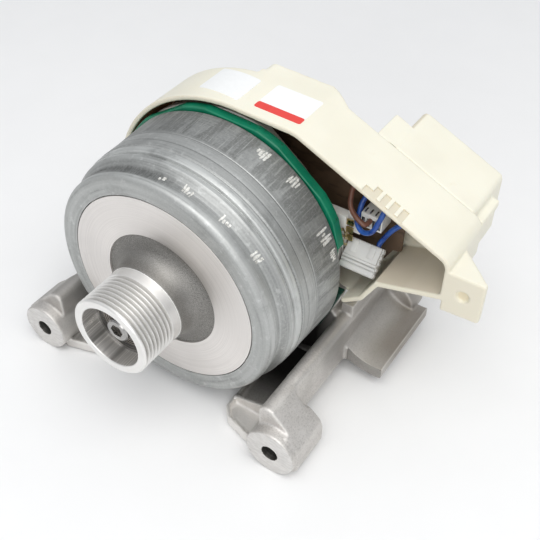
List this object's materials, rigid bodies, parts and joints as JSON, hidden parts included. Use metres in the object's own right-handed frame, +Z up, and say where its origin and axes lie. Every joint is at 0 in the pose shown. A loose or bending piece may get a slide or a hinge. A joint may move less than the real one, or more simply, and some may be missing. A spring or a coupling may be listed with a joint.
{
  "type": "washing machine motor",
  "caption": "Belt-drive washing machine motor: outer rotor with ribbed pulley on ball bearings, stator, die-cast bracket with bolt bosses, and a moulded cover holding the drive electronics.",
  "frame": {"origin": "on the motor axis, half-way along the belt's ribs on the pulley", "axes": "+Y along the motor axis from the pulley towards the cover, +Z up from the bracket's feet, +X to the right as seen from the pulley"},
  "size_m": [0.2244, 0.1611, 0.1389],
  "materials": {
    "machined_aluminium": "turned face and pulley, blasted recess",
    "cast_aluminium": "fine matte die casting",
    "plated_steel": "dull plated with rolling marks",
    "bearing_steel": "ground",
    "spring_steel": "satin",
    "core_steel": "stacked sheets",
    "ferrite": "sintered",
    "enamelled_wire": "enamelled copper",
    "cage_brass": "pressed",
    "terminal_brass": "bright",
    "green_plastic": "satin moulding",
    "cream_plastic": "satin moulding",
    "white_plastic": "satin moulding",
    "black_plastic": "moulded",
    "board": "coated laminate",
    "capacitor_sleeve": "shrunk sleeve",
    "seal_rubber": "moulded",
    "brown_insulation": "smooth",
    "blue_insulation": "smooth"
  },
  "bodies": {
    "frame": {"axle": "bearing_steel", "axle_snap_ring": "spring_steel", "front_bearing_inner_ring": "bearing_steel", "rear_bearing_inner_ring": "bearing_steel", "bearing_spacer": "spring_steel", "axle_washer": "spring_steel", "axle_nut": "spring_steel", "stator_core": "core_steel", "stator_front_insulator": "green_plastic", "stator_carrier": "green_plastic", "stator_coils": "enamelled_wire", "stator_bolts": "spring_steel", "sensor_board": "board", "bracket": "cast_aluminium", "cover": "cream_plastic", "connector_box": "cream_plastic", "cover_screws": "spring_steel", "control_board": "board", "capacitors": "capacitor_sleeve", "power_module": "black_plastic", "heat_sink": "cast_aluminium", "filter_choke": "black_plastic", "board_header": "white_plastic", "appliance_header": "white_plastic", "appliance_pins": "terminal_brass", "terminal_block": "cream_plastic", "stator_terminals": "terminal_brass", "plug_housing": "white_plastic", "brown_lead": "brown_insulation", "blue_lead": "blue_insulation", "plug_lead": "blue_insulation"},
    "rotor": {"rotor_hub": "machined_aluminium", "rotor_can": "plated_steel", "magnets": "ferrite", "front_bearing_outer_ring": "bearing_steel", "rear_bearing_outer_ring": "bearing_steel", "front_bearing_seals": "seal_rubber", "rear_bearing_seals": "seal_rubber", "hub_snap_ring": "spring_steel"},
    "front_cage": {"front_ball_cage": "cage_brass", "front_balls": "bearing_steel"},
    "rear_cage": {"rear_ball_cage": "cage_brass", "rear_balls": "bearing_steel"}
  },
  "joints": [
    {"name": "rotor_spin", "type": "hinge", "parent": "frame", "child": "rotor", "pos_m": [0, 0, 0], "axis": [0, 1, 0], "continuous": true},
    {"name": "front_cage_spin", "type": "hinge", "parent": "frame", "child": "front_cage", "pos_m": [0, 0, 0], "axis": [0, 1, 0], "continuous": true},
    {"name": "rear_cage_spin", "type": "hinge", "parent": "frame", "child": "rear_cage", "pos_m": [0, 0.0367, 0], "axis": [0, 1, 0], "continuous": true}
  ],
  "couplings": [
    {"joint": "front_cage_spin", "follows": "rotor_spin", "ratio": 0.634},
    {"joint": "rear_cage_spin", "follows": "rotor_spin", "ratio": 0.634}
  ]
}
